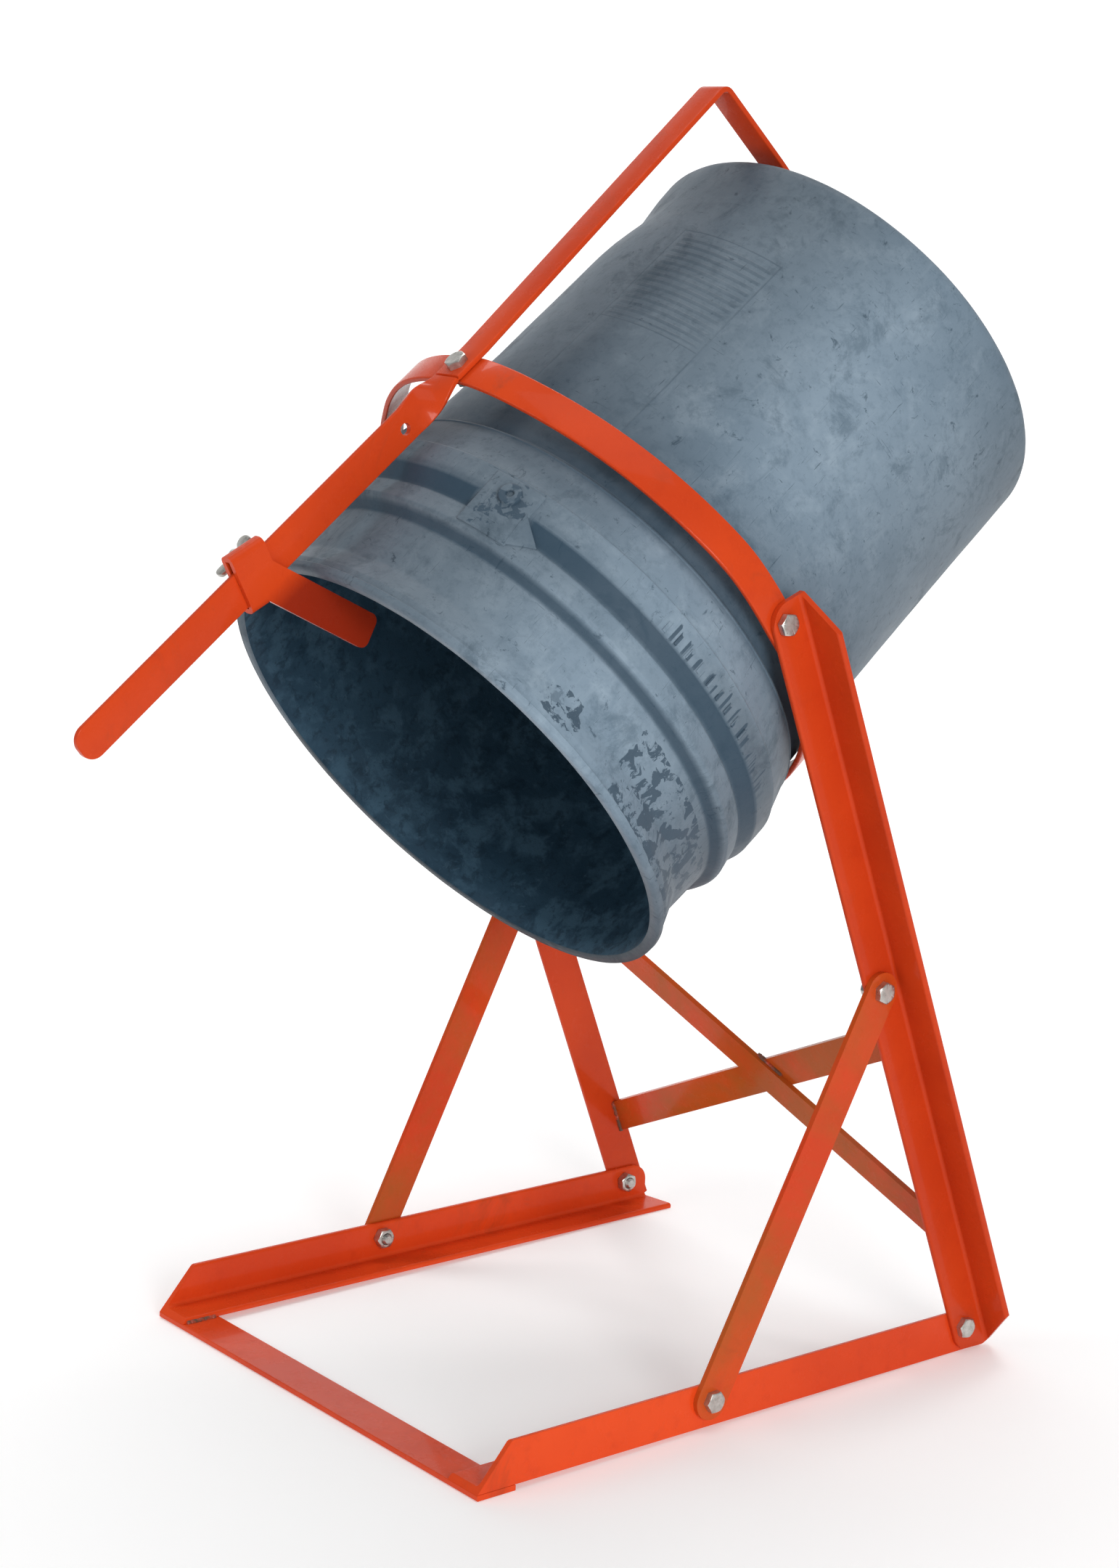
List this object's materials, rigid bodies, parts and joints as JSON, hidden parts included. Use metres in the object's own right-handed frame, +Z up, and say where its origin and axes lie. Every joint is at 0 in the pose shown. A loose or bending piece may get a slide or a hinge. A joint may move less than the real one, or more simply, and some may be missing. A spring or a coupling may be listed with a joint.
{
  "type": "tilting bucket mixer stand",
  "caption": "Floor stand with leaning posts that carry a pail in a swinging hoop, so a mix can be tipped out with a long handle; a sliding clamp hooks over the rim",
  "frame": {"origin": "middle of the overall box, on the floor", "axes": "+X to the right seen from the pouring side's operator facing rearwards, -Y towards the pour, +Z up"},
  "size_m": [0.3594, 0.621, 0.7224],
  "materials": {
    "orange_paint": "glossy orange-red powder coat",
    "zinc": "bright zinc plate",
    "pail_plastic": "blue-grey moulded polyethylene, scuffed"
  },
  "bodies": {
    "stand": {"front_crossbar": "orange_paint", "right_foot_rail": "orange_paint", "left_foot_rail": "orange_paint", "right_post": "orange_paint", "left_post": "orange_paint", "right_brace": "orange_paint", "left_brace": "orange_paint", "x_brace_rear_bar": "orange_paint", "x_brace_front_bar": "orange_paint", "crossbar_welds": "orange_paint", "x_brace_end_welds": "orange_paint", "x_brace_crossing_weld": "orange_paint", "right_heel_bolt": "zinc", "left_heel_bolt": "zinc", "right_heel_nut": "zinc", "left_heel_nut": "zinc", "right_brace_foot_bolt": "zinc", "left_brace_foot_bolt": "zinc", "right_brace_foot_nut": "zinc", "left_brace_foot_nut": "zinc", "right_brace_top_bolt": "zinc", "left_brace_top_bolt": "zinc", "right_brace_top_nut": "zinc", "left_brace_top_nut": "zinc"},
    "cradle": {"hoop": "orange_paint", "handle_strap": "orange_paint", "strap_welds": "orange_paint", "pail": "pail_plastic", "hoop_bolt": "zinc", "hoop_nut": "zinc", "right_pivot_bolt": "zinc", "left_pivot_bolt": "zinc", "right_pivot_nut": "zinc", "left_pivot_nut": "zinc"},
    "clamp": {"clamp_body": "orange_paint", "clamp_weld_nut": "zinc"},
    "wing": {"wing_screw": "zinc"}
  },
  "joints": [
    {"name": "cradle_tilt", "type": "hinge", "parent": "stand", "child": "cradle", "pos_m": [0, 0.02347, 0.44537], "axis": [1, 0, 0], "range_deg": [-128, 50]},
    {"name": "clamp_slide", "type": "slide", "parent": "cradle", "child": "clamp", "axis": [0, -0.7813, -0.6242], "range_m": [-0.0032, 0.11]},
    {"name": "wing_screw_turn", "type": "hinge", "parent": "clamp", "child": "wing", "pos_m": [-0.01, -0.20577, 0.47277], "axis": [1, 0, 0], "range_deg": [0, 810]}
  ]
}
